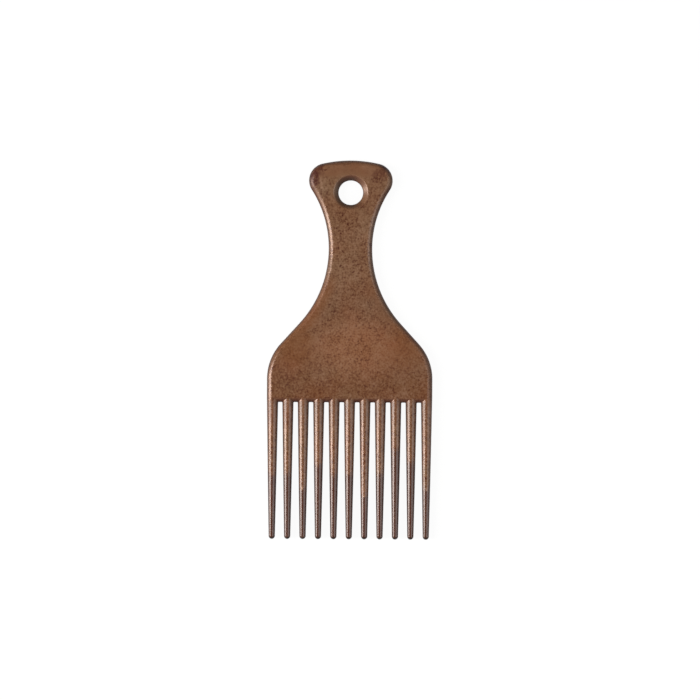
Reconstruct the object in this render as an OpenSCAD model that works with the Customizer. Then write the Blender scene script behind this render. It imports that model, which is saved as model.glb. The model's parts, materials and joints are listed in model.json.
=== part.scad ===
// Afro pick: a one-piece moulded comb with a waisted grip, a wide blade and long round teeth.
// It lies on its back face. +Z points out of the front face, +Y from the tooth tips to the crown,
// and the origin is the middle of its length and width, on the back face.
// The one moulding is drawn as the regions that a user would name, which meet face to face: the
// head with its hanging hole, the waisted grip, the blade down to the tooth roots, and each tooth.

/* [Overall] */
// Overall length, from the tooth tips to the crown of the head
total_len = 165; // [155:0.5:180]
// Thickness of the plate, whose outer edge is a full half round
thick = 4.9; // [4:0.1:5.6]

/* [Head] */
// Widest width across the head
head_w = 36.4; // [32:0.2:42]
// Plan radius of the head's two corners
head_corner_r = 7.5; // [6.5:0.1:9]
// Plan radius of the shallow crown across the top
crown_r = 55; // [46:1:70]

/* [Hanging hole] */
// Diameter of the bore
hole_d = 10.7; // [8:0.1:12]
// From the crown down to the centre of the hole
hole_drop = 14; // [12.5:0.1:17]
// Width of the sloping rim around the bore, on each face
rim_w = 2.1; // [1:0.1:2.6]
// Depth of the sloping rim, on each face
rim_depth = 1.7; // [0.8:0.1:1.8]

/* [Waist] */
// Narrowest width of the grip
waist_w = 18.9; // [16:0.1:24]
// From the crown down to the narrowest place
waist_drop = 38.4; // [33:0.2:44]

/* [Blade] */
// Width across the blade and the outer teeth
blade_w = 72; // [64:0.2:82]
// Length of the straight flank between the waist's hollow side and the shoulder
flank_len = 12; // [6:0.2:20]
// Plan radius of the shoulders
shoulder_r = 22.6; // [18:0.2:26]
// Straight side between the top of the gaps and the shoulder
cheek_len = 10.2; // [8:0.1:14]

/* [Teeth] */
// Number of teeth
tooth_count = 11; // [8:1:12]
// From the top of the gaps to the tooth tips
tooth_len = 59.7; // [50:0.1:66]
// Diameter of a tooth at its rounded tip
tooth_tip_d = 2.5; // [2:0.1:3.2]

/* [Hidden] */
// Plate left in the head below the hole's rim
head_margin = 3;
// How much of the stretch from the gaps up to the waist counts as the blade
blade_share = 0.5;
// How much of each tooth belongs to the blade, below the top of the gaps and up in the plate
stub_len = 1.6;
stub_lap = 0.3;
// How far the teeth stand inside the half round that they spring from
root_step = 0.04;
// How far each cutter runs past the face that it cuts
overrun = 1;
// Widest gap between a true curve of the plate's outline and the facets that stand for it
facet_sag = 0.025;
$fn = 96;

crown_y = total_len / 2;
tip_y = -total_len / 2;
edge_r = thick / 2;
mid_z = thick / 2;
waist_y = crown_y - waist_drop;
hole_y = crown_y - hole_drop;
hole_r = hole_d / 2;
// The top of the gaps, the line above them where the flat faces end, and the teeth's own start
gap_y = tip_y + tooth_len;
seat_y = gap_y + edge_r;
split_y = gap_y - stub_len;
cheek_y = gap_y + cheek_len;

// The outer teeth carry on the half round of the blade's sides, so their axes are its axes
tip_r = tooth_tip_d / 2;
root_r = edge_r - root_step;
tip_centre_y = tip_y + tip_r;
bar_len = blade_w - thick;
pitch = bar_len / (tooth_count - 1);
function tooth_x(i) = (i - (tooth_count + 1) / 2) * pitch;
function tooth_r(y) = tip_r + (root_r - tip_r) * (y - tip_centre_y) / (seat_y - tip_centre_y);
function tooth_name(i) = str("tooth_", i < 10 ? "0" : "", i);

// Centres of the outline's circles on the side of positive x. Each arc runs into the next at a
// common tangent, so the neck above the waist follows from the head, and the flare below it from
// the shoulder and the straight flank.
crown_c = [0, crown_y - crown_r];
corner_x = head_w / 2 - head_corner_r;
corner_c = [corner_x, crown_c.y + sqrt(pow(crown_r - head_corner_r, 2) - pow(corner_x, 2))];
shoulder_c = [blade_w / 2 - shoulder_r, cheek_y];
waist_p = [waist_w / 2, waist_y];
to_corner = corner_c - waist_p;
to_shoulder = shoulder_c - waist_p;
neck_r = (pow(norm(to_corner), 2) - pow(head_corner_r, 2)) / (2 * (head_corner_r + to_corner.x));
flare_r = (pow(norm(to_shoulder), 2) - pow(shoulder_r, 2) - pow(flank_len, 2))
        / (2 * (shoulder_r + to_shoulder.x));
neck_c = waist_p + [neck_r, 0];
flare_c = waist_p + [flare_r, 0];

// Directions from the arcs' centres to the tangent points, in degrees from +X
function angle_of(v) = atan2(v.y, v.x);
crown_end_a = angle_of(corner_c - crown_c);
corner_end_a = angle_of(neck_c - corner_c);
flare_end_a = 360 + angle_of(shoulder_c - flare_c) - atan2(flank_len, flare_r + shoulder_r);
function point_at(centre, radius, a) = centre + radius * [cos(a), sin(a)];
function facet_angle(radius) = 2 * acos(1 - facet_sag / radius);

// The lines across the plate where the head ends and where the blade begins
head_y = hole_y - hole_r - rim_w - head_margin;
blade_y = gap_y + blade_share * (waist_y - gap_y);

// Points of an arc moved inwards by `inset`. `bulge` is 1 where the outline swells and -1 where it
// is hollow. The first point is left to the arc before, so that no point comes twice.
function arc(centre, radius, bulge, from, to, inset) =
    let (n = ceil(abs(to - from) / facet_angle(radius)))
    [for (i = [1 : n]) point_at(centre, radius - bulge * inset, from + (to - from) * i / n)];

// The right side of the plate, from the crown down to the roots, moved inwards by `inset`
function side(inset) = concat(
    arc(crown_c, crown_r, 1, 90, crown_end_a, inset),
    arc(corner_c, head_corner_r, 1, crown_end_a, corner_end_a, inset),
    arc(neck_c, neck_r, -1, corner_end_a + 180, 180, inset),
    arc(flare_c, flare_r, -1, 180, flare_end_a, inset),
    [point_at(shoulder_c, shoulder_r - inset, flare_end_a - 180)],
    arc(shoulder_c, shoulder_r, 1, flare_end_a - 180, 0, inset),
    [[blade_w / 2 - inset, seat_y]]
);

// The closed outline at one height of the half-round edge, clockwise from the middle of the crown.
// `level_a` is 90 on the front face and -90 on the back.
function ring(level_a) =
    let (
        inset = edge_r * (1 - cos(level_a)),
        z = mid_z + edge_r * sin(level_a),
        right = side(inset)
    )
    concat(
        [[0, crown_y - inset, z]],
        [for (p = right) [p.x, p.y, z]],
        [for (i = [len(right) - 1 : -1 : 0]) [-right[i].x, right[i].y, z]]
    );

// The plate: rings stacked over the half round, closed by a ladder of flat strips on both faces
module rounded_plate() {
    levels = 2 * ceil(90 / facet_angle(edge_r));
    rows = len(side(0));
    around = 2 * rows + 1;
    points = [for (k = [0 : levels]) each ring(90 - 180 * k / levels)];
    edge = [for (k = [0 : levels - 1], i = [0 : around - 1])
        let (
            a = k * around + i,
            b = k * around + (i + 1) % around,
            c = b + around,
            d = a + around
        )
        each [[a, c, b], [a, d, c]]];
    front = concat(
        [[0, 1, around - 1]],
        [for (i = [1 : rows - 1])
            let (left = around - i)
            each [[i, left - 1, left], [i, i + 1, left - 1]]]
    );
    back_start = levels * around;
    back = [for (f = front) [f[0] + back_start, f[2] + back_start, f[1] + back_start]];
    polyhedron(points = points, faces = concat(front, edge, back));
}

// The rounded lower edge that shows between the teeth. Its upper half lies in the plate.
module root_edge() {
    translate([-bar_len / 2, seat_y, mid_z])
        rotate([0, 90, 0])
            cylinder(r = edge_r, h = bar_len);
}

// A stretch of one tooth's taper, from y0 up to y1
module taper(i, y0, y1) {
    translate([tooth_x(i), y0, mid_z])
        rotate([-90, 0, 0])
            cylinder(r1 = tooth_r(y0), r2 = tooth_r(y1), h = y1 - y0);
}

// The rim's slope on the front face, drawn from the bore out past the face
module rim_cutter() {
    slope = rim_w / rim_depth;
    height = rim_depth + overrun;
    translate([0, 0, thick - rim_depth])
        cylinder(r1 = hole_r, r2 = hole_r + slope * height, h = height);
}

module hanging_hole() {
    translate([0, hole_y, 0]) {
        translate([0, 0, -overrun])
            cylinder(r = hole_r, h = thick + 2 * overrun);
        rim_cutter();
        translate([0, 0, thick])
            mirror([0, 0, 1])
                rim_cutter();
    }
}

// The plate's stretch from y0 up to y1
module stretch(y0, y1) {
    intersection() {
        rounded_plate();
        translate([-blade_w / 2 - overrun, y0, -overrun])
            cube([blade_w + 2 * overrun, y1 - y0, thick + 2 * overrun]);
    }
}

// The spread end with the hanging hole
module head() {
    color([0.48, 0.33, 0.25])
        difference() {
            stretch(head_y, crown_y + overrun);
            hanging_hole();
        }
}

// The narrow stretch that the fingers close round
module grip() {
    color([0.49, 0.34, 0.25])
        stretch(blade_y, head_y);
}

// The wide stretch that carries the teeth, with the start of each
module blade() {
    color([0.51, 0.35, 0.25])
        union() {
            stretch(seat_y - overrun, blade_y);
            root_edge();
            for (i = [1 : tooth_count])
                taper(i, split_y, seat_y + stub_lap);
        }
}

// One tapered tooth with its ball tip; 1 is the leftmost, seen from the front
module tooth(i) {
    color([0.45, 0.31, 0.24])
        union() {
            taper(i, tip_centre_y, split_y);
            translate([tooth_x(i), tip_centre_y, mid_z])
                sphere(r = tip_r);
        }
}

head();
grip();
blade();
for (i = [1 : tooth_count])
    tooth(i);
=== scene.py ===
# %% [markdown]
# An afro pick is one injection moulding: a spread head with a hole to hang it by, a waisted
# grip, a flat blade, and eleven round teeth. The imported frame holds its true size, divided into
# fourteen named regions. This lesson shapes the whole moulding once, as by hand, and then parts
# it along the frame's own lines, so that every region has its own piece and no seam shows.

# %% Load the frame
import json
import math

import bmesh
import bpy
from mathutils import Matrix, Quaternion, Vector


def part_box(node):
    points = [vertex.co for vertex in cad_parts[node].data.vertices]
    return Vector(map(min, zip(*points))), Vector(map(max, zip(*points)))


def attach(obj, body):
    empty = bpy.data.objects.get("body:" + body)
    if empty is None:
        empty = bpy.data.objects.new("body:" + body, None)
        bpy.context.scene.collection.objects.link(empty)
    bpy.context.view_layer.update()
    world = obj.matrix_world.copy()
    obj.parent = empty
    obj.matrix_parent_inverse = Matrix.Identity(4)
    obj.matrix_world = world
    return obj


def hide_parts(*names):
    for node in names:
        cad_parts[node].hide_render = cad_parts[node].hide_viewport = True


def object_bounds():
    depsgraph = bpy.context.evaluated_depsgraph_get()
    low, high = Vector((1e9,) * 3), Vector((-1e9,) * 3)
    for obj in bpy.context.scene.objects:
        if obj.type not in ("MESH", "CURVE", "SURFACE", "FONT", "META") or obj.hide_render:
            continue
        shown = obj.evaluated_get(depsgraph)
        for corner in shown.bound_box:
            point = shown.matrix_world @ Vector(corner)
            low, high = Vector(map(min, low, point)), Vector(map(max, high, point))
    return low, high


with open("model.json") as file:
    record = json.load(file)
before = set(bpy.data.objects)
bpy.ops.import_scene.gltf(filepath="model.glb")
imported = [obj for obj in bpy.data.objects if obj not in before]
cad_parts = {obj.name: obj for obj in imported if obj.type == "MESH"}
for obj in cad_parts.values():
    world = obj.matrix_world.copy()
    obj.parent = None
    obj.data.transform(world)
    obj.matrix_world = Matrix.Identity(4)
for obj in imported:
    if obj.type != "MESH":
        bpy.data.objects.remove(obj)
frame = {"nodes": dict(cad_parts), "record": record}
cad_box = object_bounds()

MM = 0.001
print("frame box in mm:", [round(size / MM, 2) for size in cad_box[1] - cad_box[0]])

# %% [markdown]
# Most sizes are read from the frame, so that the looks can't drift from the construction. The
# boxes of its nodes give the overall size, the lines between the regions and the places of the
# teeth. The gaps between the teeth end a little above the line where the teeth's nodes start, and
# the flat face ends half a thickness above that.

# %% Sizes from the frame
tooth_names = sorted(name for name in frame["nodes"] if name.startswith("tooth_"))
tooth_axes = [sum(corner.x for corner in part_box(name)) / 2 for name in tooth_names]
pitch = (tooth_axes[-1] - tooth_axes[0]) / (len(tooth_names) - 1)

crown_y = cad_box[1].y
tip_y = cad_box[0].y
half_blade = cad_box[1].x
face_z = cad_box[1].z
edge_r = face_z / 2
mid_z = edge_r
half_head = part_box("head")[1].x
head_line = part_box("head")[0].y
blade_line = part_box("grip")[0].y
tooth_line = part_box("blade")[0].y

gap_drop = 1.6 * MM
gap_y = tooth_line + gap_drop
seat_y = gap_y + edge_r
print("pitch", round(pitch / MM, 3), "gap top", round(gap_y / MM, 3), "mm")

# %% [markdown]
# The outline of the right half is a chain of arcs that run into each other at common tangents,
# as a mould maker would draw it: the shallow crown, the tight corner of the head, the hollow
# neck, the flare, a straight flank, the shoulder and the straight cheek above the teeth. It
# could be a Bezier curve, but the spin tool draws true arcs, and it needs their centres. Only the
# radii and a few lengths are given again here, because a box doesn't say how a curve runs.

# %% Centres and turns of the arcs
crown_r = 55 * MM
corner_r = 7.5 * MM
shoulder_r = 22.6 * MM
half_waist = 9.45 * MM
waist_drop = 38.4 * MM
flank_len = 12 * MM
cheek_len = 10.2 * MM

crown_c = Vector((0, crown_y - crown_r))
corner_x = half_head - corner_r
corner_c = Vector((corner_x, crown_c.y + math.sqrt((crown_r - corner_r) ** 2 - corner_x ** 2)))
shoulder_c = Vector((half_blade - shoulder_r, gap_y + cheek_len))
waist = Vector((half_waist, crown_y - waist_drop))
to_corner = corner_c - waist
to_shoulder = shoulder_c - waist
neck_r = (to_corner.length_squared - corner_r ** 2) / (2 * (corner_r + to_corner.x))
from_tangents = to_shoulder.length_squared - shoulder_r ** 2 - flank_len ** 2
flare_r = from_tangents / (2 * (shoulder_r + to_shoulder.x))
neck_c = waist + Vector((neck_r, 0))
flare_c = waist + Vector((flare_r, 0))


def heading(v):
    return math.atan2(v.y, v.x)


crown_end = heading(corner_c - crown_c)
corner_end = heading(neck_c - corner_c)
to_flare = heading(shoulder_c - flare_c) - math.atan2(flank_len, flare_r + shoulder_r)
flare_turn = 2 * math.pi + to_flare - math.pi
shoulder_start = to_flare + math.pi
print("neck", round(neck_r / MM, 2), "flare", round(flare_r / MM, 2), "mm radius")

# %% [markdown]
# An operator works on whatever is selected, and the frame's nodes are still selected after
# loading. So every new primitive starts from a clean selection, and every step ends back in
# object mode with one object chosen. Three small helpers see to that and report on the result.

# %% Helpers for one piece at a time


def start_piece(name, add, **settings):
    """Add a primitive on its own, name it, and go into edit mode on it."""
    if bpy.context.object and bpy.context.object.mode == "EDIT":
        bpy.ops.object.mode_set(mode="OBJECT")
    bpy.ops.object.select_all(action="DESELECT")
    add(**settings)
    made = bpy.context.object
    made.name = name
    bpy.ops.object.transform_apply(location=True, rotation=True, scale=True)
    bpy.ops.object.mode_set(mode="EDIT")
    bpy.ops.mesh.select_mode(type="VERT")
    bpy.ops.mesh.select_all(action="SELECT")
    return made


def only(obj):
    """Back in object mode, make this the one selected and active object."""
    if bpy.context.object and bpy.context.object.mode == "EDIT":
        bpy.ops.object.mode_set(mode="OBJECT")
    bpy.ops.object.select_all(action="DESELECT")
    obj.select_set(True)
    bpy.context.view_layer.objects.active = obj


def report(obj):
    size = obj.dimensions / MM
    print(obj.name, len(obj.data.vertices), "vertices", [round(s, 2) for s in size], "mm")


print("still selected after loading:", len(bpy.context.selected_objects), "objects")

# %% [markdown]
# Now the chain is drawn. A plane merged at its centre leaves the one vertex that a spin can
# start from. Each spin follows one arc and each extrusion one straight, and what was made last
# stays selected, so the next one carries on from the end of the chain.

# %% Draw the outline with the spin tool
ARC_STEP = math.radians(3.5)
LONG_ARC_STEP = math.radians(1.2)
FACE_STRIP = 0.6 * MM
strip_y = seat_y + FACE_STRIP


def turn(centre, angle, step):
    """Spin what is chosen about a centre. The tool itself counts turns clockwise."""
    bpy.ops.mesh.spin(
        steps=math.ceil(abs(angle) / step),
        angle=-angle,
        center=(centre.x, centre.y, mid_z),
        axis=(0, 0, 1),
    )


def extrude(x=0, y=0, z=0):
    """Extrude what is chosen and move the new end straight on."""
    bpy.ops.mesh.extrude_region_move(TRANSFORM_OT_translate={"value": (x, y, z)})


plate = start_piece("plate", bpy.ops.mesh.primitive_plane_add, size=MM, location=(0, crown_y, mid_z))
bpy.ops.mesh.merge(type="CENTER")
turn(crown_c, crown_end - math.pi / 2, LONG_ARC_STEP)
turn(corner_c, corner_end - crown_end, ARC_STEP)
turn(neck_c, -corner_end, LONG_ARC_STEP)
turn(flare_c, flare_turn, LONG_ARC_STEP)
extrude(x=-flank_len * math.sin(to_flare), y=flank_len * math.cos(to_flare))
turn(shoulder_c, -shoulder_start, ARC_STEP)
extrude(y=strip_y - shoulder_c.y)
extrude(y=seat_y - strip_y)
extrude(x=-half_blade)
only(plate)
report(plate)

# %% [markdown]
# Clicking on edges is no use in a script, and their numbers change with every step. What stays
# true is where they lie, so in edit mode the vertices, edges and faces are chosen by their place.

# %% A helper for choosing by place
NEAR = 0.002 * MM


def near(a, b):
    return abs(a - b) < NEAR


def choose(kind, passes, also=lambda part: True):
    """Select the vertices, edges or faces whose corners all pass one test, and that pass another."""
    bpy.ops.mesh.select_mode(type=kind)
    bpy.ops.mesh.select_all(action="DESELECT")
    mesh = bmesh.from_edit_mesh(bpy.context.object.data)
    parts = {"VERT": mesh.verts, "EDGE": mesh.edges, "FACE": mesh.faces}[kind]
    for part in parts:
        corners = [part] if kind == "VERT" else part.verts
        part.select = all(passes(corner.co) for corner in corners) and also(part)
    mesh.select_flush_mode()
    bmesh.update_edit_mesh(bpy.context.object.data)
    return sum(part.select for part in parts)


print("places count as the same within", NEAR / MM, "mm")

# %% [markdown]
# The edge of the moulding is a full half round. Only a quarter of the plate is shaped, right half
# and upper half, because the mirror modifier makes the rest. The outline is filled, raised by half
# the thickness and bevelled by just as much, so that the bevel takes up the whole wall and comes
# down upright to half height. The two halves of the mould met there, and the parting line is
# raised there later. The faces on the cuts are deleted, because the mirror needs them open, and
# so is the flat face, which is filled again when the hole and the roots are there.

# %% Raise the plate and round its edge
EDGE_STEPS = 8

bpy.ops.object.mode_set(mode="EDIT")
bpy.ops.mesh.select_all(action="SELECT")
bpy.ops.mesh.edge_face_add()
extrude(z=edge_r)
choose("FACE", lambda p: near(p.z, mid_z))
bpy.ops.mesh.delete(type="FACE")
choose("FACE", lambda p: near(p.x, 0))
bpy.ops.mesh.delete(type="FACE")
choose("FACE", lambda p: near(p.y, seat_y))
bpy.ops.mesh.delete(type="FACE")


def lies_on_cut(edge):
    """True for the two top edges where the quarter meets its neighbours."""
    return all(near(v.co.x, 0) for v in edge.verts) or all(near(v.co.y, seat_y) for v in edge.verts)


choose("EDGE", lambda p: near(p.z, face_z), lambda edge: not lies_on_cut(edge))
bpy.ops.mesh.bevel(offset=edge_r, segments=EDGE_STEPS, profile=0.5, clamp_overlap=False)
choose("FACE", lambda p: near(p.z, face_z))
bpy.ops.mesh.delete(type="ONLY_FACE")
choose("EDGE", lambda p: near(p.z, face_z), lies_on_cut)
bpy.ops.mesh.delete(type="EDGE")
bpy.ops.mesh.select_all(action="SELECT")
bpy.ops.mesh.remove_doubles(threshold=NEAR)
only(plate)
report(plate)

# %% [markdown]
# The hanging hole is a short bore between two sloping rims. Instead of cutting it with a boolean,
# which would leave ragged triangles, its profile is drawn as four points, its two corners are
# softened with a vertex bevel, and it is spun half way round the axis of the hole. The record's
# bore gives the radius and the length of the straight part.

# %% Spin the hanging hole
RIM_W = 2.1 * MM
RIM_FLAT = 0.5 * MM
RIM_CORNER = 0.4 * MM
RIM_CORNER_STEPS = 4
HOLE_STEPS = 36

bore = next(m for m in frame["record"]["mounts"] if m["kind"] == "bore")
hole_y = bore["pos_m"][1]
hole_r = bore["dims"]["r_mm"] * MM
land_half = bore["dims"]["length_mm"] * MM / 2

hole = start_piece(
    "hole", bpy.ops.mesh.primitive_plane_add, size=MM, location=(0, hole_y + hole_r, mid_z)
)
bpy.ops.mesh.merge(type="CENTER")
for outwards, upwards in ((0, land_half), (RIM_W, edge_r - land_half), (RIM_FLAT, 0)):
    extrude(y=outwards, z=upwards)
choose("VERT", lambda p: near(p.z, mid_z + land_half) or near(p.y, hole_y + hole_r + RIM_W))
bpy.ops.mesh.bevel(
    affect="VERTICES", offset=RIM_CORNER, segments=RIM_CORNER_STEPS, profile=0.5
)
bpy.ops.mesh.select_all(action="SELECT")
turn(Vector((0, hole_y)), -math.pi, math.pi / HOLE_STEPS)
bpy.ops.mesh.select_all(action="SELECT")
bpy.ops.mesh.remove_doubles(threshold=NEAR)
only(hole)
report(hole)

# %% [markdown]
# Where a round tooth runs into the round lower edge of the blade, the two surfaces meet like two
# half-round mouldings in a mitre. The root of one tooth starts as a quarter of a ring that is
# drawn out into a quarter of a tube, and scaled a little smaller at the tooth's end. A copy of
# the plain quarter tube is set aside for the outer side of the last tooth, which has no neighbour.

# %% Shape the quarter tube of a tooth root
TOOTH_TOP_R = 2.38 * MM

root = start_piece(
    "root",
    bpy.ops.mesh.primitive_circle_add,
    vertices=4 * EDGE_STEPS,
    radius=edge_r,
    rotation=(math.pi / 2, 0, 0),
    location=(0, seat_y, mid_z),
)
choose("VERT", lambda p: p.x < -NEAR or p.z < mid_z - NEAR)
bpy.ops.mesh.delete(type="VERT")
bpy.ops.mesh.select_all(action="SELECT")
extrude(y=tooth_line - seat_y)
shrink = TOOTH_TOP_R / edge_r
bpy.ops.transform.resize(value=(shrink, 1, shrink), center_override=(0, tooth_line, mid_z))
only(root)
bpy.ops.object.duplicate()
outer_root = bpy.context.object
outer_root.name = "outer_root"
report(outer_root)

# %% [markdown]
# The quarter tube is cut off on the mitre plane, and the rounded edge between two teeth is that
# cut, drawn out sideways. It is extruded by a whole pitch, and a scale of nothing along X then
# sets every point of it on the middle of the gap. A narrow strip behind it reaches the flat face.

# %% Cut the mitre and draw out the rounded edge
MITRE_R = 2.4 * MM

only(root)
bpy.ops.object.mode_set(mode="EDIT")
bpy.ops.mesh.select_all(action="SELECT")
mitre_normal = Vector((edge_r, MITRE_R, 0)).normalized()
bpy.ops.mesh.bisect(
    plane_co=(0, seat_y, mid_z), plane_no=mitre_normal, clear_outer=True, threshold=NEAR
)


def on_mitre(p):
    return near(Vector((p.x, p.y - seat_y, 0)).dot(mitre_normal), 0)


choose("EDGE", on_mitre)
extrude(x=pitch)
bpy.ops.transform.resize(value=(0, 1, 1), center_override=(pitch / 2, seat_y, mid_z))
choose("EDGE", lambda p: near(p.y, seat_y))
extrude(y=FACE_STRIP)
bpy.ops.mesh.select_all(action="SELECT")
bpy.ops.mesh.remove_doubles(threshold=NEAR)
print("mitre edges", choose("EDGE", on_mitre))
only(root)
report(root)

# %% [markdown]
# A bevel along the mitre stands for the small fillet of the mould. A fillet of one radius covers
# less and less of the surface as the two meet more flatly, and nothing at the crest, where they
# run level. A plain bevel would be equally wide all along, so every edge of the mitre gets its
# own bevel weight, and the modifier follows the weights.

# %% Round the fillet of the root
FILLET_R = 0.45 * MM
FILLET_STEPS = 4


def apply_modifier(kind, **settings):
    """Add a modifier to the active object and apply it at once."""
    bpy.ops.object.modifier_add(type=kind)
    modifier = bpy.context.object.modifiers[-1]
    for name, value in settings.items():
        setattr(modifier, name, value)
    bpy.ops.object.modifier_apply(modifier=modifier.name)


def fillet_weight(edge):
    """How far a fillet of constant radius reaches: fully at half height, not at all at the crest."""
    if any(near(v.co.z, face_z) for v in edge.verts):
        return 0
    height = (sum(v.co.z for v in edge.verts) / 2 - mid_z) / edge_r
    between_normals = math.acos(height ** 2)
    return math.tan(between_normals / 2)


bpy.ops.object.mode_set(mode="EDIT")
choose("EDGE", on_mitre)
mesh = bmesh.from_edit_mesh(root.data)
weight_layer = mesh.edges.layers.float.new("bevel_weight_edge")
for edge in mesh.edges:
    edge[weight_layer] = fillet_weight(edge) if edge.select else 0
bmesh.update_edit_mesh(root.data)
bpy.ops.object.mode_set(mode="OBJECT")
apply_modifier("MIRROR", merge_threshold=NEAR)
apply_modifier(
    "BEVEL", limit_method="WEIGHT", offset_type="OFFSET", width=FILLET_R, segments=FILLET_STEPS
)
report(root)

# %% [markdown]
# One root serves all the teeth. An array repeats it at the pitch and merges each copy into the
# last, which is surer than placing copies by hand. Half a row is enough, because the other half
# is mirrored later. The row is cut off at the middle of the first tooth and of the last, whose
# outer side has no neighbour and takes the plain quarter tube that was set aside.

# %% Repeat the root along the blade


def move_mesh(x=0, z=0):
    """Move the active object and put the move into its mesh."""
    bpy.ops.transform.translate(value=(x, 0, z))
    bpy.ops.object.transform_apply(location=True, rotation=True, scale=True)


half_count = (len(tooth_axes) - 1) // 2
apply_modifier(
    "ARRAY",
    count=half_count + 1,
    use_relative_offset=False,
    use_constant_offset=True,
    constant_offset_displace=(pitch, 0, 0),
    use_merge_vertices=True,
    merge_threshold=NEAR,
)
bpy.ops.object.mode_set(mode="EDIT")
for side_x, outwards in ((0, -1), (tooth_axes[-1], 1)):
    bpy.ops.mesh.select_all(action="SELECT")
    bpy.ops.mesh.bisect(
        plane_co=(side_x, 0, 0), plane_no=(outwards, 0, 0), clear_outer=True, threshold=NEAR
    )
only(outer_root)
move_mesh(x=tooth_axes[-1])
report(root)

# %% [markdown]
# The parts of the quarter are joined, and the flat face is filled last, as one polygon whose
# border runs round the outline, along the middle and round half of the hole. A polygon with many
# corners is safe here, because it is flat. The mirror modifier then makes the left half and the
# back. It mirrors about the object's own origin, so the quarter is first lowered by half the
# thickness, and the whole is raised again.

# %% Join the quarter and mirror it
only(plate)
for part in (hole, root, outer_root):
    part.select_set(True)
bpy.ops.object.join()
moulding = plate
moulding.name = "moulding"
bpy.ops.object.mode_set(mode="EDIT")
bpy.ops.mesh.select_all(action="SELECT")
bpy.ops.mesh.remove_doubles(threshold=2 * NEAR)
flat_ring_r = hole_r + RIM_W + RIM_FLAT
for ends in ((crown_y - edge_r, hole_y + flat_ring_r), (hole_y - flat_ring_r, strip_y)):
    choose(
        "VERT",
        lambda p: near(p.x, 0) and near(p.z, face_z) and any(near(p.y, end) for end in ends),
    )
    bpy.ops.mesh.edge_face_add()
choose(
    "EDGE",
    lambda p: near(p.z, face_z) and p.y > strip_y - NEAR,
    lambda edge: edge.is_wire or (edge.is_boundary and not lies_on_cut(edge)),
)
bpy.ops.mesh.edge_face_add()
only(moulding)
report(moulding)
move_mesh(z=-mid_z)
apply_modifier("MIRROR", use_axis=(True, False, True), merge_threshold=NEAR)
move_mesh(z=mid_z)
report(moulding)

# %% [markdown]
# A tooth is a long round taper with a ball end. It starts as the ring that the root ends on and
# is extruded ring by ring, each one scaled about the axis of the tooth. The taper swells by a few
# hundredths of a millimetre half way down, as the real one does, so that its sides aren't dead
# straight. The rings close up round the tip and merge at its pole.

# %% Extrude one tooth
TIP_R = 1.33 * MM
TAPER_SWELL = 0.035 * MM
TAPER_RINGS = 14
TIP_RINGS = 6

tooth = start_piece(
    "tooth",
    bpy.ops.mesh.primitive_circle_add,
    vertices=4 * EDGE_STEPS,
    radius=TOOTH_TOP_R,
    rotation=(math.pi / 2, 0, 0),
    location=(0, tooth_line, mid_z),
)
tip_centre_y = tip_y + TIP_R


def next_ring(from_y, from_r, to_y, to_r):
    """Extrude the chosen ring along the tooth and scale it about the tooth's axis."""
    extrude(y=to_y - from_y)
    factor = to_r / from_r
    bpy.ops.transform.resize(value=(factor, 1, factor), center_override=(0, to_y, mid_z))
    return to_y, to_r


ring_y, ring_r = tooth_line, TOOTH_TOP_R
for step in range(1, TAPER_RINGS + 1):
    down = step / TAPER_RINGS
    taper_r = TOOTH_TOP_R + (TIP_R - TOOTH_TOP_R) * down + TAPER_SWELL * math.sin(math.pi * down)
    taper_y = tooth_line + (tip_centre_y - tooth_line) * down
    ring_y, ring_r = next_ring(ring_y, ring_r, taper_y, taper_r)
for step in range(1, TIP_RINGS):
    around = math.pi / 2 * step / TIP_RINGS
    tip_ring_y = tip_centre_y - TIP_R * math.sin(around)
    ring_y, ring_r = next_ring(ring_y, ring_r, tip_ring_y, TIP_R * math.cos(around))
extrude(y=tip_y - ring_y)
bpy.ops.mesh.merge(type="CENTER")
only(tooth)
report(tooth)

# %% [markdown]
# All the teeth are alike. The one that was shaped is moved to the first axis, and an array copies
# it to the others at the pitch of the frame's own teeth.

# %% Repeat the tooth
move_mesh(x=tooth_axes[0])
apply_modifier(
    "ARRAY",
    count=len(tooth_axes),
    use_relative_offset=False,
    use_constant_offset=True,
    constant_offset_displace=(pitch, 0, 0),
)
report(tooth)

# %% [markdown]
# The two halves of a mould never close perfectly, so a fine line stands proud at half height, all
# round the outline and down both sides of every tooth. The edge loop that lies there is bevelled
# into a narrow band with a middle row, and that row is moved outwards a little.

# %% Join the teeth and raise the parting line
LINE_HALF = 0.07 * MM
LINE_RISE = 0.03 * MM

only(moulding)
tooth.select_set(True)
bpy.ops.object.join()
bpy.ops.object.mode_set(mode="EDIT")
bpy.ops.mesh.select_all(action="SELECT")
bpy.ops.mesh.remove_doubles(threshold=5 * NEAR)
bpy.ops.mesh.normals_make_consistent(inside=False)


def on_outer_line(p):
    in_hole = Vector((p.x, p.y - hole_y)).length < hole_r + RIM_W
    return near(p.z, mid_z) and not in_hole and p.y > tip_centre_y - TIP_R / 2


line_edges = choose("EDGE", on_outer_line)
bpy.ops.mesh.bevel(offset=LINE_HALF, segments=2, profile=0.5, clamp_overlap=False)
choose("VERT", on_outer_line)
bpy.ops.transform.shrink_fatten(value=LINE_RISE)
only(moulding)
report(moulding)
print("edges along the parting line", line_edges)

# %% [markdown]
# The frame has a node for every region, so the dressed moulding is parted too, along the same
# lines. First it gets an edge loop at the two lines across the plate, without coming apart. The
# teeth already have a ring where they start. The smooth shading is then weighted by face area, so
# that the flat faces look flat right up to the rounded edge.

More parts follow.
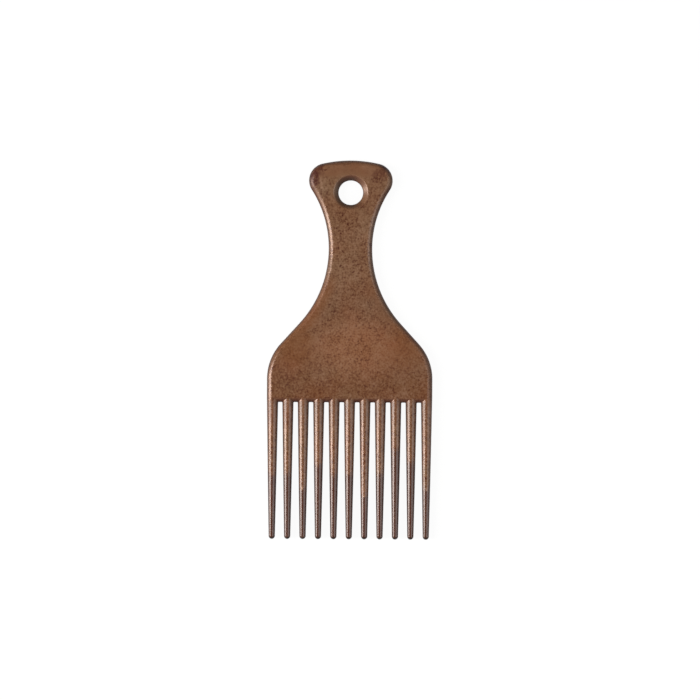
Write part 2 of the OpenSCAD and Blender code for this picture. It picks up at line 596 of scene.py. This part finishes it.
# %% Cut along the frame's lines
bpy.ops.object.mode_set(mode="EDIT")
for line_y in (head_line, blade_line):
    bpy.ops.mesh.select_all(action="SELECT")
    bpy.ops.mesh.bisect(plane_co=(0, line_y, 0), plane_no=(0, 1, 0), threshold=NEAR)
only(moulding)
bpy.ops.object.shade_smooth()
apply_modifier("WEIGHTED_NORMAL", mode="FACE_AREA", weight=50)
report(moulding)

# %% [markdown]
# Splitting a shaded body leaves a seam, because each half then averages its own normals. So
# every piece is a copy of the whole with the other regions deleted, and a data transfer gives
# it the normals of the whole back. The cut ends are closed with flat faces, which the pieces
# hide from each other.

# %% Helpers for parting


def region_of(place):
    """The name of the frame's node that a place on the moulding belongs to."""
    if place.y > head_line:
        return "head"
    if place.y > blade_line:
        return "grip"
    if place.y > tooth_line:
        return "blade"
    return tooth_names[round((place.x - tooth_axes[0]) / pitch)]


def part_off(region):
    """Copy the moulding, keep one region of it, and close it where it was cut."""
    only(moulding)
    bpy.ops.object.duplicate()
    piece = bpy.context.object
    piece.name = "moulded_" + region
    piece.data.name = piece.name
    bpy.ops.object.mode_set(mode="EDIT")
    choose("FACE", lambda p: True, lambda face: region_of(face.calc_center_median()) != region)
    bpy.ops.mesh.delete(type="FACE")
    bpy.ops.object.mode_set(mode="OBJECT")
    apply_modifier(
        "DATA_TRANSFER",
        object=moulding,
        use_loop_data=True,
        data_types_loops={"CUSTOM_NORMAL"},
        loop_mapping="NEAREST_POLYNOR",
    )
    bpy.ops.object.mode_set(mode="EDIT")
    choose("EDGE", lambda p: True, lambda edge: edge.is_boundary)
    bpy.ops.mesh.mark_sharp()
    bpy.ops.mesh.fill_holes(sides=0)
    only(piece)
    return piece


print("the hole is in the", region_of(Vector((0, hole_y, mid_z))))

# %% [markdown]
# Every region is now parted off. Its piece rides on the pick's one body and takes the place of
# its node in the frame. The whole has then done its work and is removed.

# %% Part the moulding into its pieces
pieces = {region: part_off(region) for region in ["head", "grip", "blade"] + tooth_names}
for region, piece in pieces.items():
    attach(piece, "root")
    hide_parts(region)
    report(piece)
bpy.data.objects.remove(moulding)

# %% [markdown]
# The whole moulding is one opaque plastic, mottled brown like horn. Such a finish could be
# painted as an image, but a pattern of nodes on Object coordinates needs no unwrapping, has a
# true size in millimetres, and runs on from one piece to the next without a break. So one
# material dresses all fourteen pieces. One helper adds any node with its settings and links, and
# another a Math node, which is what most of them are.

# %% Start the plastic
plastic = bpy.data.materials.new("moulding_plastic")
plastic.use_nodes = True
tree = plastic.node_tree
shader = tree.nodes["Principled BSDF"]


def add_node(tree, kind, inputs=None, **settings):
    """Add a shader node, set its properties, and fill each input with a value or a link."""
    node = tree.nodes.new("ShaderNode" + kind)
    for name, value in settings.items():
        setattr(node, name, value)
    for socket, value in (inputs or {}).items():
        if isinstance(value, bpy.types.NodeSocket):
            tree.links.new(value, node.inputs[socket])
        else:
            node.inputs[socket].default_value = value
    return node


def math_node(tree, operation, *values):
    return add_node(tree, "Math", dict(enumerate(values)), operation=operation).outputs[0]


coordinates = add_node(tree, "TexCoord")
place = coordinates.outputs["Object"]
print("nodes to start with:", len(tree.nodes))

# %% [markdown]
# The mottle of a moulded plastic has several sizes at once: grains of about a millimetre, larger
# soft spots, and slow clouds that the melt left as it flowed. Each is a noise of its own size,
# moved to lie around zero. A Voronoi pattern would give rounder specks, but its cells look
# counted, and the real ones melt into each other.

# %% Noise in several sizes


def noise(cell_mm, offset):
    """Noise around 0, mostly within 0.25 either way, with blobs of the given size."""
    inputs = {"Vector": place, "W": offset, "Scale": 1 / (cell_mm * MM), "Detail": 1}
    texture = add_node(tree, "TexNoise", inputs, noise_dimensions="4D")
    return math_node(tree, "SUBTRACT", texture.outputs["Fac"], 0.5)


fine = noise(cell_mm=0.78, offset=1)
grain = noise(cell_mm=1.4, offset=2)
mottle = noise(cell_mm=3, offset=3)
cloud = noise(cell_mm=7, offset=4)
hue = noise(cell_mm=9, offset=5)
pitting = noise(cell_mm=1.1, offset=6)
print("nodes so far", len(tree.nodes))

# %% [markdown]
# The shade and the gloss change slowly over the tool. The neck is greyer, the low end of the
# blade is darker, and the teeth get glossier towards their ends. Every such region is a mask
# between 0 and 1. The simplest is a run along the length, written as the heights in millimetres
# where it starts and where it is full. The start of each tooth takes two runs, one from below and
# one from above, multiplied.

# %% Masks by height
NECK_RUN = (14, 36)
HEAD_RUN = (52, 60)
CROWN_RUN = (74, 77)
LOW_RUN = (-2, -16)
TEETH_RUN = (-20, -26)
ENDS_RUN = (-30, -52)
ROOTS_RUN = (-38, -24)
ROOTS_TOP_RUN = (-21.8, -22.8)

axes = add_node(tree, "SeparateXYZ", {0: place})
across = axes.outputs["X"]
along = axes.outputs["Y"]


def fade(tree, value, start, end):
    """0 at one value and 1 at the other, with a soft run between them."""
    inputs = {"Value": value, "From Min": start, "From Max": end}
    return add_node(tree, "MapRange", inputs, interpolation_type="SMOOTHSTEP").outputs["Result"]


def run(start_mm, end_mm):
    """0 up to one height and 1 from the other on."""
    return fade(tree, along, start_mm * MM, end_mm * MM)


neck = run(*NECK_RUN)
head_end = run(*HEAD_RUN)
crown = run(*CROWN_RUN)
low = run(*LOW_RUN)
teeth = run(*TEETH_RUN)
ends = run(*ENDS_RUN)
roots = math_node(tree, "MULTIPLY", run(*ROOTS_RUN), run(*ROOTS_TOP_RUN))
print("the neck's shade is full from", NECK_RUN[1], "mm up")

# %% [markdown]
# Other regions are round: the middle of the blade is the warmest, both flanks are smoother and
# more orange, and one corner of the head shines more softly. An ellipse stands for each, written
# as the place of its centre and its half sizes, in millimetres. The flanks are alike, so theirs
# works on folded coordinates, in which the left half lies over the right.

# %% Masks by ellipse
FLANK_SPOT = (24, 1, 15, 15)
MIDDLE_SPOT = (3, 1, 27, 20)
CORNER_SPOT = (-16.8, 67.5, 8.5, 16)
SPOT_CORE = 0.2


def vector_node(tree, operation, *values):
    return add_node(tree, "VectorMath", dict(enumerate(values)), operation=operation).outputs[0]


def length_node(tree, vector):
    return add_node(tree, "VectorMath", {0: vector}, operation="LENGTH").outputs["Value"]


def spot(where, x_mm, y_mm, half_x_mm, half_y_mm):
    """1 in the core of an ellipse and 0 from its rim outwards."""
    away = vector_node(tree, "SUBTRACT", where, (x_mm * MM, y_mm * MM, 0))
    shares = (1 / (half_x_mm * MM), 1 / (half_y_mm * MM), 0)
    scaled = vector_node(tree, "MULTIPLY", away, shares)
    return fade(tree, length_node(tree, scaled), 1, SPOT_CORE)


side = math_node(tree, "ABSOLUTE", across)
folded = add_node(tree, "CombineXYZ", {"X": side, "Y": along}).outputs["Vector"]
flank = spot(folded, *FLANK_SPOT)
middle = spot(place, *MIDDLE_SPOT)
corner = spot(place, *CORNER_SPOT)
print("the blade's middle is warmest at", MIDDLE_SPOT[:2], "mm")

# %% [markdown]
# Three masks follow the shape. A smooth margin, orange on the left, runs along both flanks. It
# needs the distance from the outline, and the spun arcs give it straight away: beside the flare
# it is the distance from the arc's centre, less its radius, and beside the straight flank a dot
# product with the flank's normal. The sloping rim of the hole, and the lower part of it towards
# the bore, go by the distance from the hole's axis.

# %% Masks that follow the shape
MARGIN_DEEP = 7 * MM
MARGIN_FULL = 3 * MM
MARGIN_UPPER_RUN = (36, 26)
MARGIN_LOWER_RUN = (-14, -4)
BORE_SIDE = 0.5 * MM

flank_normal = Vector((math.cos(to_flare + math.pi), math.sin(to_flare + math.pi)))
flank_start = shoulder_c + shoulder_r * flank_normal
from_flank = vector_node(tree, "SUBTRACT", (*flank_start, 0), folded)
flank_depth = {0: from_flank, 1: (*flank_normal, 0)}
inside_flank = add_node(tree, "VectorMath", flank_depth, operation="DOT_PRODUCT").outputs["Value"]
from_flare = vector_node(tree, "SUBTRACT", folded, (*flare_c, 0))
inside_flare = math_node(tree, "SUBTRACT", length_node(tree, from_flare), flare_r)
inside = math_node(tree, "MAXIMUM", inside_flank, inside_flare)
margin = fade(tree, inside, MARGIN_DEEP, MARGIN_FULL)
margin = math_node(tree, "MULTIPLY", margin, run(*MARGIN_UPPER_RUN))
margin = math_node(tree, "MULTIPLY", margin, run(*MARGIN_LOWER_RUN))

from_hole = vector_node(tree, "SUBTRACT", place, (0, hole_y, 0))
from_hole = vector_node(tree, "MULTIPLY", from_hole, (1, 1, 0))
from_axis = length_node(tree, from_hole)
rim = fade(tree, from_axis, flat_ring_r, hole_r + RIM_W)
by_bore = fade(tree, from_axis, hole_r + RIM_W, hole_r + BORE_SIDE)
print("flare centre at", [round(c / MM, 1) for c in flare_c], "mm")

# %% [markdown]
# The ground colour is laid region over region, as a painter glazes: each mask mixes its own
# shade into what lies below. The shades of the plate are browns that differ by less than a tenth,
# taken from the photograph and trimmed until the render agreed.

# %% Blend the ground colour
BODY = (0.242, 0.110, 0.052, 1)
LOW = (0.229, 0.093, 0.0365, 1)
NECK = (0.263, 0.127, 0.061, 1)
TOP = (0.269, 0.120, 0.056, 1)
FLANK = (0.254, 0.096, 0.034, 1)
MIDDLE = (0.322, 0.130, 0.055, 1)
LEFT_RUN = 4 * MM


def blend_colour(tree, factor, a, b):
    return add_node(tree, "Mix", {0: factor, 6: a, 7: b}, data_type="RGBA").outputs[2]


colour = blend_colour(tree, low, BODY, LOW)
colour = blend_colour(tree, neck, colour, NECK)
colour = blend_colour(tree, crown, colour, TOP)
smooth_part = math_node(tree, "MAXIMUM", flank, margin)
left = fade(tree, across, LEFT_RUN, -LEFT_RUN)
orange = math_node(tree, "MAXIMUM", flank, math_node(tree, "MULTIPLY", margin, left))
colour = blend_colour(tree, orange, colour, FLANK)
colour = blend_colour(tree, middle, colour, MIDDLE)
print("shades of the plate:", LOW[:3], "to", MIDDLE[:3])

# %% [markdown]
# Hair polishes the teeth: towards the tips they are smoother and darker than above, and the
# height of the change differs from tooth to tooth. A pattern that goes by the piece and not by
# the place alone is best kept in an attribute, so every point of a tooth stores how far it lies
# below that change. The plate, which hair doesn't reach, stores a large negative depth.

# %% Store the depth of the polish
CHANGE_Y_MM = [-54.3, -54.5, -60.1, -50.1, -54.5, -54.5, -63.2, -54.5, -43.6, -49.3, -60.1]
UNTOUCHED = -20 * MM

change_of = dict(zip(tooth_names, CHANGE_Y_MM))
for region, piece in pieces.items():
    stored = piece.data.attributes.new("polish_depth", "FLOAT", "POINT")
    for vertex, value in zip(piece.data.vertices, stored.data):
        on_tooth = region in change_of
        value.value = change_of[region] * MM - vertex.co.y if on_tooth else UNTOUCHED
print("the polish starts from", max(CHANGE_Y_MM), "down to", min(CHANGE_Y_MM), "mm")

# %% [markdown]
# Where a tooth is polished, the ground turns to a dark red-brown, along a line that the grain
# makes ragged. A slow noise then pushes mostly the green and the blue, twice as far on the teeth
# as on the plate, so that one tooth is a little more golden and the next more mauve. The very
# tips are darkened to nearly black by painted shade, where their round ends turn away from the
# lamps.

# %% Shade the teeth
WORN = (0.100, 0.031, 0.015, 1)
# nearly black, for painted shade at the tips of the teeth and down into the bore
PAINTED_SHADE_BLACK = (0.030, 0.022, 0.018, 1)
TINT = (-0.08, 0.25, 0.42)
TEETH_TINT = 2
WORN_FROM = -2 * MM
WORN_FULL = 1.5 * MM
WORN_RAGGED = 8 * MM
TIP_FROM = 1.3 * MM
TIP_FULL = 0.5 * MM


def between(tree, mask, low, high):
    """One value where a mask is 0, the other where it is 1."""
    inputs = {"Value": mask, "To Min": low, "To Max": high}
    return add_node(tree, "MapRange", inputs).outputs["Result"]


depth = add_node(tree, "Attribute", attribute_name="polish_depth").outputs["Fac"]
ragged_depth = math_node(tree, "MULTIPLY_ADD", grain, WORN_RAGGED, depth)
worn = fade(tree, ragged_depth, WORN_FROM, WORN_FULL)
colour = blend_colour(tree, worn, colour, WORN)
hue = math_node(tree, "MULTIPLY", hue, between(tree, teeth, 1, TEETH_TINT))
tint = vector_node(tree, "MULTIPLY_ADD", hue, TINT, (1, 1, 1))
colour = vector_node(tree, "MULTIPLY", colour, tint)
# painted shade on the round ends of the teeth, which turn away from the lamps
tip_shade = fade(tree, along, tip_y + TIP_FROM, tip_y + TIP_FULL)
colour = blend_colour(tree, tip_shade, colour, PAINTED_SHADE_BLACK)
print("nodes so far", len(tree.nodes))

# %% [markdown]
# The specks are added up as one value, in steps of brightness: below zero is darker than the
# ground, above it is paler. Some marks have places of their own. A few are dark blotches in the
# head. Others are painted light: painted shade along the crown, at both upper corners of the head
# and inside its left corner, where a pale streak beside it is a painted highlight, and a dark and
# pale pair on the rim of the hole, painted shade and painted highlight. On three of the teeth a
# pale spot is the painted glint of a nick. The larger marks have rims bent by the noise, so that
# no ellipse shows. A row of the table gives the place of the centre and the half sizes, all in
# millimetres, and the steps. A row of the nick glints gives the tooth, how far to the side of its
# axis the glint lies, the height and the steps.

# %% Marks with places of their own
MARKS = (
    # painted shade along the edge of the crown
    (-5.0, 80.9, 7.5, 1.6, -12),
    (-11.0, 78.6, 1.6, 1.3, -26),
    (-13.6, 80.0, 4.6, 2.8, -27),
    (-14.6, 77.0, 3.6, 2.6, -22),
    # painted shade, and in the third row a painted highlight, at the head's left corner: a groove's
    # shading
    (-15.8, 73.4, 2.4, 5.2, -31),
    (-17.3, 76.6, 2.4, 3.2, -16),
    (-13.3, 72.3, 1.2, 5.5, 26),
    (-11.3, 67.5, 1.6, 3.2, -10),
    (11.4, 75.6, 4.2, 3.6, -32),
    (11.4, 75.4, 2.0, 1.7, 24),
    # painted shade at the upper right corner of the head
    (15.8, 79.2, 4.2, 4.2, -40),
    # painted shade below and a painted highlight above the right of the hole's rim, turning its
    # highlight
    (3.2, 62.9, 3.0, 2.4, -8),
    (4.0, 74.0, 3.0, 2.2, 9),
    (-8.4, 66.5, 2.6, 5.0, 6),
    (5.6, 56.2, 3.4, 4.0, 11),
    (0.5, 44.0, 4.0, 3.0, 9),
    (-17.0, 13.5, 6.0, 4.0, 6),
    (14.5, -3.0, 7.0, 9.0, 8),
    (-27.0, -13.0, 9.0, 9.0, -7),
    (26.0, -16.0, 11.0, 8.0, 9),
)
# a pale spot on three of the teeth: the painted glint of a nick
NICK_GLINTS = (("tooth_03", -0.3, -60.3, 95), ("tooth_07", -0.3, -63.5, 80), ("tooth_11", 0.1, -60.5, 70))
NICK_GLINT_HALVES = (0.7, 1.0)
RIM_BEND = 8 * MM

bent = add_node(tree, "CombineXYZ", {"X": mottle, "Y": grain}).outputs["Vector"]
ragged_place = vector_node(tree, "MULTIPLY_ADD", bent, (RIM_BEND, RIM_BEND, 0), place)
marks = 0
for *ellipse, steps in MARKS:
    marks = math_node(tree, "MULTIPLY_ADD", spot(ragged_place, *ellipse), steps, marks)
for name, aside_mm, y_mm, steps in NICK_GLINTS:
    x_mm = tooth_axes[tooth_names.index(name)] / MM + aside_mm
    nick_glint = spot(place, x_mm, y_mm, *NICK_GLINT_HALVES)
    marks = math_node(tree, "MULTIPLY_ADD", nick_glint, steps, marks)
print("marks:", len(MARKS), "nicks:", len(NICK_GLINTS))

# %% [markdown]
# Small dark pits gather in clusters on the neck. They could be placed one by one, but a noise of
# which only the highest peaks are kept scatters them by itself. A mask of a few ellipses then
# says where they are dense, and a low floor under it leaves a few between the clusters.

# %% Pits in clusters
CLUSTERS = ((5, 48, 5, 5), (-4, 39, 5, 6), (2, 21, 9, 5), (-5, 57.5, 5, 3), (-6, 47, 4, 5))
FEWEST_PITS = 0.25
PEAK_FROM = 0.06
PEAK_FULL = 0.13

clusters = FEWEST_PITS
for ellipse in CLUSTERS:
    clusters = math_node(tree, "MAXIMUM", spot(place, *ellipse), clusters)
clusters = math_node(tree, "MULTIPLY", clusters, neck)
pits = math_node(tree, "MULTIPLY", fade(tree, pitting, PEAK_FROM, PEAK_FULL), clusters)
print("clusters of pits:", len(CLUSTERS))

# %% [markdown]
# The noises, the pits and the marks meet in one sum. The grain in it is weaker where the surface
# is smooth: on the flanks and their margin, the crown, the rim of the hole and the worn ends. It
# is a little stronger on the neck, and calmer again in the head.

# %% Sum up the specks
FINE_STEPS = 105
GRAIN_STEPS = 50
MOTTLE_STEPS = 24
CROWN_MOTTLE_STEPS = 12
CLOUD_STEPS = 16
PIT_STEPS = -20
MARGIN_SMOOTH = 0.45
WORN_SMOOTH = 0.7
NECK_MORE = 0.15
HEAD_LESS = 0.3

smooth = math_node(tree, "MULTIPLY", smooth_part, MARGIN_SMOOTH)
smooth = math_node(tree, "MAXIMUM", smooth, math_node(tree, "MULTIPLY", worn, WORN_SMOOTH))
smooth = math_node(tree, "MAXIMUM", smooth, math_node(tree, "MAXIMUM", crown, rim))
strength = math_node(tree, "SUBTRACT", 1, smooth)
strength = math_node(tree, "MULTIPLY_ADD", neck, NECK_MORE, strength)
strength = math_node(tree, "MULTIPLY_ADD", head_end, -HEAD_LESS, strength)
specks_and_painted_light = math_node(tree, "MULTIPLY", fine, FINE_STEPS)
specks_and_painted_light = math_node(tree, "MULTIPLY_ADD", grain, GRAIN_STEPS, specks_and_painted_light)
specks_and_painted_light = math_node(tree, "MULTIPLY", specks_and_painted_light, strength)
mottle_steps = between(tree, crown, MOTTLE_STEPS, CROWN_MOTTLE_STEPS)
specks_and_painted_light = math_node(tree, "MULTIPLY_ADD", mottle, mottle_steps, specks_and_painted_light)
specks_and_painted_light = math_node(tree, "MULTIPLY_ADD", cloud, CLOUD_STEPS, specks_and_painted_light)
specks_and_painted_light = math_node(tree, "MULTIPLY_ADD", pits, PIT_STEPS, specks_and_painted_light)
specks_and_painted_light = math_node(tree, "ADD", specks_and_painted_light, marks)
print("nodes so far", len(tree.nodes))

# %% [markdown]
# The sum now blends the ground towards a dark red-brown or a pale tan. Blending towards a colour,
# instead of adding brightness to each channel, keeps the specks brown, because no channel runs
# out before the others.

# %% Dark and pale specks
# dark specks, and also the colour of painted shade at the ends of the gaps and in the marks
DARK_SPECK_AND_SHADE = (0.085, 0.010, 0.001, 1)
PALE_SPECK_AND_HIGHLIGHT = (0.550, 0.330, 0.220, 1)
DARKEST_AT = -36
PALEST_AT = 100
MOST_DARK = 0.97
MOST_PALE = 0.9

to_dark = {"Value": specks_and_painted_light, "From Min": 0, "From Max": DARKEST_AT, "To Max": MOST_DARK}
to_pale = {"Value": specks_and_painted_light, "From Min": 0, "From Max": PALEST_AT, "To Max": MOST_PALE}
dark = add_node(tree, "MapRange", to_dark).outputs["Result"]
pale = add_node(tree, "MapRange", to_pale).outputs["Result"]
# the dark side also carries painted shade and the pale side painted highlights, from the marks
colour = blend_colour(tree, dark, colour, DARK_SPECK_AND_SHADE)
colour = blend_colour(tree, pale, colour, PALE_SPECK_AND_HIGHLIGHT)
print("nodes so far", len(tree.nodes))

# %% [markdown]
# The rounded edge of the plate is dull, because no hand polishes it, and it is darkened by painted
# shade where it turns away from the lamps. Painted shade also darkens what leans towards the tips,
# above all where the gaps between the teeth end, which are dull as well, and the rim of the hole
# where it runs down into the bore. A Fresnel or Facing node could find such places, but it follows
# the camera. The surface's own normal says as well how far a place leans, and the edge then looks
# the same from every side. The rim leans too, but only its lower part is dull and shaded. What
# faces left, towards the key light, and the teeth get less of the painted shade and stay glossier.

# %% Dull edges and painted shade
# painted shade: the colour of the rounded edge is multiplied by this
PAINTED_EDGE_SHADE = (0.45, 0.41, 0.38)
EDGE_FROM = 0.98
EDGE_FULL = 0.65
KEY_SIDE_EDGE_FROM = 0.87
KEY_SIDE_EDGE_FULL = 0.5
LEFT_LEAN = (-0.1, -0.4)
DOWN_LEAN = (-0.1, -0.6)
GAP_END_RUN = (-27, -25)
GAP_END_SHADE_SHARE = 0.6
BORE_SHADE = 0.45
KEY_SIDE_BORE_SHADE = 0.05

normal_axes = add_node(tree, "SeparateXYZ", {0: coordinates.outputs["Normal"]})
lean_x = normal_axes.outputs["X"]
lean_y = normal_axes.outputs["Y"]
upright = math_node(tree, "ABSOLUTE", normal_axes.outputs["Z"])
faces_key_or_tooth = math_node(tree, "MAXIMUM", teeth, fade(tree, lean_x, *LEFT_LEAN))
edge_from = between(tree, faces_key_or_tooth, EDGE_FROM, KEY_SIDE_EDGE_FROM)
edge_full = between(tree, faces_key_or_tooth, EDGE_FULL, KEY_SIDE_EDGE_FULL)
edge = fade(tree, upright, edge_from, edge_full)
edge = math_node(tree, "MULTIPLY", edge, between(tree, rim, 1, by_bore))
# painted shade on the rounded edge, where it turns away from the lamps
painted_edge_shade_colour = vector_node(tree, "MULTIPLY", colour, PAINTED_EDGE_SHADE)
colour = blend_colour(tree, edge, colour, painted_edge_shade_colour)
# painted shade on what leans towards the tips, most where the gaps end; the same mask makes it dull
gap_end_shade_and_dull = math_node(tree, "MULTIPLY", fade(tree, lean_y, *DOWN_LEAN), run(*GAP_END_RUN))
colour = blend_colour(tree, math_node(tree, "MULTIPLY", gap_end_shade_and_dull, GAP_END_SHADE_SHARE), colour, DARK_SPECK_AND_SHADE)
# painted shade down the rim into the bore, weaker on the side that faces the key light
bore_shade = between(tree, faces_key_or_tooth, BORE_SHADE, KEY_SIDE_BORE_SHADE)
colour = blend_colour(tree, math_node(tree, "MULTIPLY", by_bore, bore_shade), colour, PAINTED_SHADE_BLACK)
print("nodes so far", len(tree.nodes))

# %% [markdown]
# Gloss tells handled plastic from new. The teeth are a little glossier than the plate and their
# worn ends are the glossiest. The start of each tooth, the rim of the hole and one corner of the
# head shine more softly, the right edges away from the grip and the rounded edge are scuffed, and
# the ends of the gaps, darkened by painted shade, are dull. Like the colours, the roughness is laid
# mask over mask, from a short table. A trace of Metallic tints the highlights with the colour
# below, as flecks in the plastic do. It fades towards the tips and at the start of each tooth.

# %% Gloss
GRIP_CENTRE = 42 * MM
SCUFF_FROM = 15 * MM
SCUFF_FULL = 28 * MM
RIGHT_LEAN = (0.1, 0.45)
PLATE_ROUGH = 0.31
TEETH_ROUGH = 0.29
CLOUD_ROUGH = 0.3
FLECKS = 0.13
ENDS_FLECKS = 0.05

on_plate = math_node(tree, "SUBTRACT", 1, teeth)
off_grip = math_node(tree, "ABSOLUTE", math_node(tree, "SUBTRACT", along, GRIP_CENTRE))
right_side = fade(tree, lean_x, *RIGHT_LEAN)
scuffed = math_node(tree, "MULTIPLY", right_side, fade(tree, off_grip, SCUFF_FROM, SCUFF_FULL))
scuffed = math_node(tree, "MULTIPLY", scuffed, on_plate)
rough_places = (
    (ends, 0.26),
    (roots, 0.35),
    (worn, 0.2),
    (corner, 0.45),
    (scuffed, 0.62),
    (rim, 0.38),
    (edge, 0.6),
    (gap_end_shade_and_dull, 0.85),
)
rough = between(tree, teeth, PLATE_ROUGH, TEETH_ROUGH)
rough = math_node(tree, "MULTIPLY_ADD", cloud, CLOUD_ROUGH, rough)
for mask, roughness in rough_places:
    rough = between(tree, mask, rough, roughness)
flecks = between(tree, ends, FLECKS, ENDS_FLECKS)
flecks = between(tree, roots, flecks, 0)
print("places with a gloss of their own:", len(rough_places))

# %% [markdown]
# The grain is also a relief of a few hundredths of a millimetre. It could be modelled, but that
# would take millions of faces, and a Bump node bends the light in the same way. The relief is
# almost gone where the surface is smooth, worn or rounded, and on the rim of the hole. The
# specular level stands above its usual half, because the photograph's highlights are strong.

# %% Relief of the grain
GRAIN_DEPTH = 0.07 * MM
SMOOTH_DEPTH = 0.01 * MM
ROUNDED_DEPTH = 0.012 * MM
RIM_DEPTH = 0.005 * MM
WORN_DEPTH = 0.002 * MM
ROUNDED_FROM = 0.97
ROUNDED_FULL = 0.85
SPECULAR_LEVEL = 0.75

relief = math_node(tree, "ADD", fine, grain)
rounded = fade(tree, upright, ROUNDED_FROM, ROUNDED_FULL)
rounded = math_node(tree, "MULTIPLY", rounded, on_plate)
relief_depth = between(tree, smooth, GRAIN_DEPTH, SMOOTH_DEPTH)
relief_depth = between(tree, worn, relief_depth, WORN_DEPTH)
relief_depth = between(tree, rounded, relief_depth, ROUNDED_DEPTH)
relief_depth = between(tree, rim, relief_depth, RIM_DEPTH)
bump = add_node(tree, "Bump", {"Height": relief, "Distance": relief_depth, "Strength": 1})

tree.links.new(colour, shader.inputs["Base Color"])
tree.links.new(rough, shader.inputs["Roughness"])
tree.links.new(flecks, shader.inputs["Metallic"])
tree.links.new(bump.outputs["Normal"], shader.inputs["Normal"])
shader.inputs["Specular IOR Level"].default_value = SPECULAR_LEVEL
for piece in pieces.values():
    piece.data.materials.append(plastic)
print("nodes in the plastic:", len(tree.nodes))

# %% [markdown]
# The pick lies on a sheet that the photograph shows as all but pure white. A sheet lit as brightly
# as that would clip, and would throw its light back up at the teeth. So it glows for the camera,
# for reflections and for what glass would show, and lights nothing else. A dark diffuse part
# under the glow still takes the faint shadow.

# %% Lay the floor
FLOOR_SIZE = 3
FLOOR_DROP = 0.05 * MM
PAPER_GLOW = 0.94
PAPER_GREY = (0.1, 0.1, 0.1, 1)

bpy.ops.mesh.primitive_plane_add(size=FLOOR_SIZE, location=(0, 0, -FLOOR_DROP))
floor = bpy.context.object
floor.name = "floor"
paper = bpy.data.materials.new("floor_paper")
paper.use_nodes = True
floor.data.materials.append(paper)
tree = paper.node_tree
tree.nodes.clear()
path = add_node(tree, "LightPath")
seen = math_node(tree, "ADD", path.outputs["Is Camera Ray"], path.outputs["Is Glossy Ray"])
seen = math_node(tree, "ADD", seen, path.outputs["Is Transmission Ray"])
glow = add_node(tree, "Emission", {"Strength": math_node(tree, "MULTIPLY", seen, PAPER_GLOW)})
diffuse = add_node(tree, "BsdfDiffuse", {"Color": PAPER_GREY})
total = add_node(tree, "AddShader", {0: diffuse.outputs[0], 1: glow.outputs[0]})
add_node(tree, "OutputMaterial", {"Surface": total.outputs[0]})
print("floor", FLOOR_SIZE, "m wide, glow", PAPER_GLOW)

# %% [markdown]
# An even, dim light comes from all round. To the camera alone, and through glass, the world is as
# white as the floor, so that a low view shows no grey horizon. Reflections keep the dim world,
# because a white one would wash the plastic out.

# %% Light the world
WORLD_LIGHT = 0.14
WHITE = (1, 1, 1)

world = bpy.data.worlds.new("studio")
bpy.context.scene.world = world
world.use_nodes = True
tree = world.node_tree
background = tree.nodes["Background"]
background.inputs["Color"].default_value = (*WHITE, 1)
path = add_node(tree, "LightPath")
seen = math_node(tree, "ADD", path.outputs["Is Camera Ray"], path.outputs["Is Transmission Ray"])
world_light = between(tree, seen, WORLD_LIGHT, PAPER_GLOW)
tree.links.new(world_light, background.inputs["Strength"])
print("the world lights with", WORLD_LIGHT, "and is seen as", PAPER_GLOW)

# %% [markdown]
# The highlights give the lamps away. On a round tooth seen from above, a highlight lies where the
# surface leans half as far as its lamp. The bright line lies 28 to 29 degrees to the left of the
# crest, so the key light stands 57 degrees from straight up, on the left, and the width of the
# line tells how far the lamp reaches along its tilt. A larger and weaker lamp on the right draws
# the soft line there. Both are softboxes: area lights whose long side lies along their tilt. The
# key light's leans a little aside.

# %% Set up the two lamps
WARM_WHITE = (1, 0.95, 0.9)


def softbox(name, azimuth, tilt, distance, width, length, radiance, colour=WHITE, lean=0):
    """An area light that faces the object. Angles are in degrees, and the lean turns its length."""
    azimuth = math.radians(azimuth)
    tilt = math.radians(tilt)
    level = math.sin(tilt)
    towards = Vector((level * math.cos(azimuth), level * math.sin(azimuth), math.cos(tilt)))
    bpy.ops.object.light_add(type="AREA", location=towards * distance)
    light = bpy.context.object
    light.name = name
    light.data.shape = "RECTANGLE"
    light.data.size = width
    light.data.size_y = length
    light.data.color = colour
    light.data.energy = radiance * math.pi * width * length
    facing = towards.to_track_quat("Z", "Y")
    light.rotation_euler = (facing @ Quaternion((0, 0, 1), math.radians(lean))).to_euler()
    print(name, "from", round(math.degrees(azimuth)), "degrees,", round(light.data.energy, 2), "W")


softbox(
    "key_light",
    azimuth=183.5,
    tilt=57,
    distance=0.9,
    width=0.36,
    length=0.72,
    radiance=10.2,
    colour=WARM_WHITE,
    lean=12,
)
softbox("fill_light", azimuth=352, tilt=45, distance=1.2, width=0.75, length=1.07, radiance=1.75)

# %% [markdown]
# The photograph looks straight down and shows no perspective, so the camera has a long lens and
# stands well back. A camera sees the width of its sensor at a distance of one focal length, so
# the distance follows from how wide a stretch the picture shows at the middle of the pick. The
# pick lies a third of a degree askew in the photograph, and here the camera is turned instead. It
# is also shifted by less than a tenth of a millimetre, which lines the two pictures up.

# %% Place the camera
LENS = 100
SENSOR = 36
PICTURE_WIDTH = 305 * MM
SHIFT_X = 0.055 * MM
SHIFT_Y = -0.02 * MM
ROLL = math.radians(0.35)

camera_z = mid_z + PICTURE_WIDTH * LENS / SENSOR
bpy.ops.object.camera_add(location=(SHIFT_X, SHIFT_Y, camera_z), rotation=(0, 0, ROLL))
camera = bpy.context.object
camera.name = "camera"
camera.data.lens = LENS
camera.data.sensor_width = SENSOR
bpy.context.scene.camera = camera
bpy.context.scene.view_settings.view_transform = "Standard"
print("camera", round(camera_z, 3), "m up")
